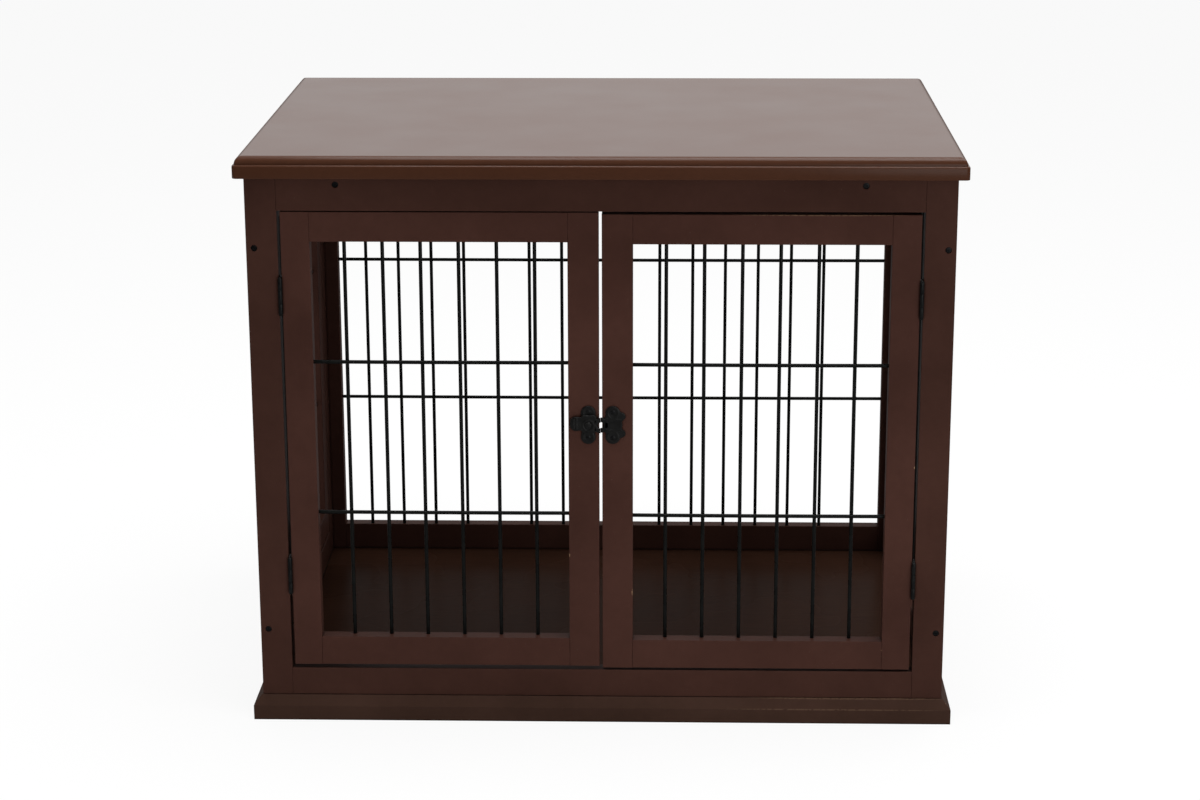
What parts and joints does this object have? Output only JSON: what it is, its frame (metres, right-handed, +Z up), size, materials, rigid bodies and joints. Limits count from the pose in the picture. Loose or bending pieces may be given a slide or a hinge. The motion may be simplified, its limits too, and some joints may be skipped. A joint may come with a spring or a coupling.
{
  "type": "dog crate end table",
  "caption": "Wooden end table that is also a pet crate, with a pair of wire doors in front, a wire door on one side, fixed wire grilles and turning latches.",
  "frame": {"origin": "middle of the footprint, on the floor under the base moulding", "axes": "+X to the right of someone facing the double doors, +Y to the back, +Z up"},
  "size_m": [0.82, 0.575, 0.6713],
  "materials": {
    "frame_paint": "satin espresso paint on fibreboard",
    "door_paint": "satin espresso paint on fibreboard",
    "base_paint": "satin espresso paint on fibreboard",
    "top_paint": "satin espresso paint on fibreboard",
    "floor_laminate": "matt espresso laminate",
    "wire": "gloss black powder coat",
    "latch_casting": "black enamel on a zinc casting",
    "hinge_steel": "black oxide steel",
    "screw_steel": "black oxide steel"
  },
  "bodies": {
    "carcass": {"back_grille": "wire", "back_rail_bottom": "frame_paint", "back_rail_top": "frame_paint", "back_stile_left": "frame_paint", "back_stile_right": "frame_paint", "base_back": "base_paint", "base_front": "base_paint", "base_left": "base_paint", "base_right": "base_paint", "base_screws": "screw_steel", "cleat_screws": "screw_steel", "floor_panel": "floor_laminate", "frame_screws": "screw_steel", "front_left_door_jamb_leaves": "hinge_steel", "front_rail_bottom": "frame_paint", "front_rail_top": "frame_paint", "front_right_door_jamb_leaves": "hinge_steel", "front_stile_left": "frame_paint", "front_stile_right": "frame_paint", "hinge_pins": "hinge_steel", "left_side_rail_bottom": "frame_paint", "left_side_rail_top": "frame_paint", "left_side_stile_back": "frame_paint", "left_side_stile_front": "frame_paint", "right_side_grille": "wire", "right_side_rail_bottom": "frame_paint", "right_side_rail_top": "frame_paint", "right_side_stile_back": "frame_paint", "right_side_stile_front": "frame_paint", "side_door_jamb_leaves": "hinge_steel", "side_latch_keeper": "latch_casting", "top_board": "top_paint", "top_cleat_back": "frame_paint", "top_cleat_front": "frame_paint", "top_screws": "screw_steel"},
    "front_left_door": {"front_left_door_grille": "wire", "front_left_door_hinge_leaves": "hinge_steel", "front_left_door_hinge_stile": "door_paint", "front_left_door_latch_stile": "door_paint", "front_left_door_rail_bottom": "door_paint", "front_left_door_rail_top": "door_paint", "front_latch_plate": "latch_casting"},
    "front_right_door": {"front_right_door_grille": "wire", "front_right_door_hinge_leaves": "hinge_steel", "front_right_door_hinge_stile": "door_paint", "front_right_door_latch_stile": "door_paint", "front_right_door_rail_bottom": "door_paint", "front_right_door_rail_top": "door_paint", "front_latch_keeper": "latch_casting"},
    "side_door": {"side_door_grille": "wire", "side_door_hinge_leaves": "hinge_steel", "side_door_hinge_stile": "door_paint", "side_door_latch_stile": "door_paint", "side_door_rail_bottom": "door_paint", "side_door_rail_top": "door_paint", "side_latch_plate": "latch_casting"},
    "front_latch_lever": {"front_latch_lever": "latch_casting"},
    "side_latch_lever": {"side_latch_lever": "latch_casting"}
  },
  "joints": [
    {"name": "front_left_door_swing", "type": "hinge", "parent": "carcass", "child": "front_left_door", "pos_m": [-0.3612, -0.2789, 0.3434], "axis": [0, 0, -1], "range_deg": [0, 170]},
    {"name": "front_right_door_swing", "type": "hinge", "parent": "carcass", "child": "front_right_door", "pos_m": [0.3612, -0.2789, 0.3414], "axis": [0, 0, 1], "range_deg": [0, 170]},
    {"name": "side_door_swing", "type": "hinge", "parent": "carcass", "child": "side_door", "pos_m": [-0.4014, 0.2207, 0.3434], "axis": [0, 0, -1], "range_deg": [0, 170]},
    {"name": "front_latch_turn", "type": "hinge", "parent": "front_left_door", "child": "front_latch_lever", "pos_m": [-0.014, -0.276, 0.3605], "axis": [0, 1, 0], "range_deg": [0, 35]},
    {"name": "side_latch_turn", "type": "hinge", "parent": "side_door", "child": "side_latch_lever", "pos_m": [-0.3985, -0.2067, 0.3605], "axis": [1, 0, 0], "range_deg": [0, 35]}
  ]
}
